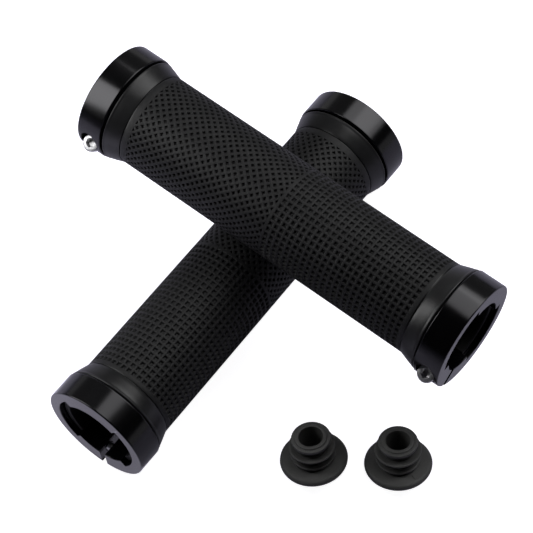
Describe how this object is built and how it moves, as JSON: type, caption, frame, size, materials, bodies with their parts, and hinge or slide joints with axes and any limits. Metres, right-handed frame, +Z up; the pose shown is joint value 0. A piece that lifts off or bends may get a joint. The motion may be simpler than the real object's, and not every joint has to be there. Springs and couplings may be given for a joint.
{
  "type": "bicycle handlebar grip set",
  "caption": "Lock-on bicycle handlebar grips laid crosswise: knurled rubber sleeves on cores, split clamp rings with pinch screws, and ribbed bar end plugs.",
  "frame": {"origin": "centre of the bottom face of the bounding box, on the surface the set stands on", "axes": "+X along the lower grip towards its rear end, +Z up, +Y along the upper grip towards its rear end"},
  "size_m": [0.13, 0.137, 0.0631],
  "materials": {
    "sleeve_rubber": "moulded satin black rubber, cut with a net of small square pits",
    "core_plastic": "moulded black nylon",
    "ring_anodised": "glossy black anodised",
    "screw_steel": "bright plated steel",
    "plug_plastic": "moulded dark grey plastic, matte"
  },
  "bodies": {
    "lower_grip": {"lower_rubber_sleeve": "sleeve_rubber", "lower_core": "core_plastic"},
    "upper_grip": {"upper_rubber_sleeve": "sleeve_rubber", "upper_core": "core_plastic"},
    "lower_front_ring": {"lower_front_clamp_ring": "ring_anodised"},
    "lower_front_screw": {"lower_front_clamp_screw": "screw_steel"},
    "lower_rear_ring": {"lower_rear_clamp_ring": "ring_anodised"},
    "lower_rear_screw": {"lower_rear_clamp_screw": "screw_steel"},
    "upper_front_ring": {"upper_front_clamp_ring": "ring_anodised"},
    "upper_front_screw": {"upper_front_clamp_screw": "screw_steel"},
    "upper_rear_ring": {"upper_rear_clamp_ring": "ring_anodised"},
    "upper_rear_screw": {"upper_rear_clamp_screw": "screw_steel"},
    "left_plug": {"left_end_plug": "plug_plastic"},
    "right_plug": {"right_end_plug": "plug_plastic"}
  },
  "joints": [
    {"name": "upper_grip_lift", "type": "slide", "parent": "lower_grip", "child": "upper_grip", "axis": [0, 0, 1], "range_m": [0, 0.06]},
    {"name": "lower_front_ring_slide", "type": "slide", "parent": "lower_grip", "child": "lower_front_ring", "axis": [-1, 0, 0], "range_m": [0, 0.015]},
    {"name": "lower_front_screw_turn", "type": "hinge", "parent": "lower_front_ring", "child": "lower_front_screw", "pos_m": [-0.06085, 0.01097, 0.00313], "axis": [0, -0.9903, 0.1392], "range_deg": [0, 1080]},
    {"name": "lower_rear_ring_slide", "type": "slide", "parent": "lower_grip", "child": "lower_rear_ring", "axis": [1, 0, 0], "range_m": [0, 0.015]},
    {"name": "lower_rear_screw_turn", "type": "hinge", "parent": "lower_rear_ring", "child": "lower_rear_screw", "pos_m": [0.06085, 0.01097, 0.00313], "axis": [0, -0.9903, 0.1392], "range_deg": [0, 1080]},
    {"name": "upper_front_ring_slide", "type": "slide", "parent": "upper_grip", "child": "upper_front_ring", "axis": [-0.0265, -0.9996, 0], "range_m": [0, 0.015]},
    {"name": "upper_front_screw_turn", "type": "hinge", "parent": "upper_front_ring", "child": "upper_front_screw", "pos_m": [0.00134, -0.05748, 0.03712], "axis": [-0.6818, 0.0181, 0.7314], "range_deg": [0, 1080]},
    {"name": "upper_rear_ring_slide", "type": "slide", "parent": "upper_grip", "child": "upper_rear_ring", "axis": [0.0265, 0.9996, 0], "range_m": [0, 0.015]},
    {"name": "upper_rear_screw_turn", "type": "hinge", "parent": "upper_rear_ring", "child": "upper_rear_screw", "pos_m": [0.00457, 0.06417, 0.03712], "axis": [-0.6818, 0.0181, 0.7314], "range_deg": [0, 1080]},
    {"name": "left_plug_slide", "type": "slide", "parent": "lower_grip", "child": "left_plug", "axis": [-1, 0, 0], "range_m": [0, 0.03]},
    {"name": "right_plug_slide", "type": "slide", "parent": "lower_grip", "child": "right_plug", "axis": [0, -1, 0], "range_m": [0, 0.03]}
  ]
}
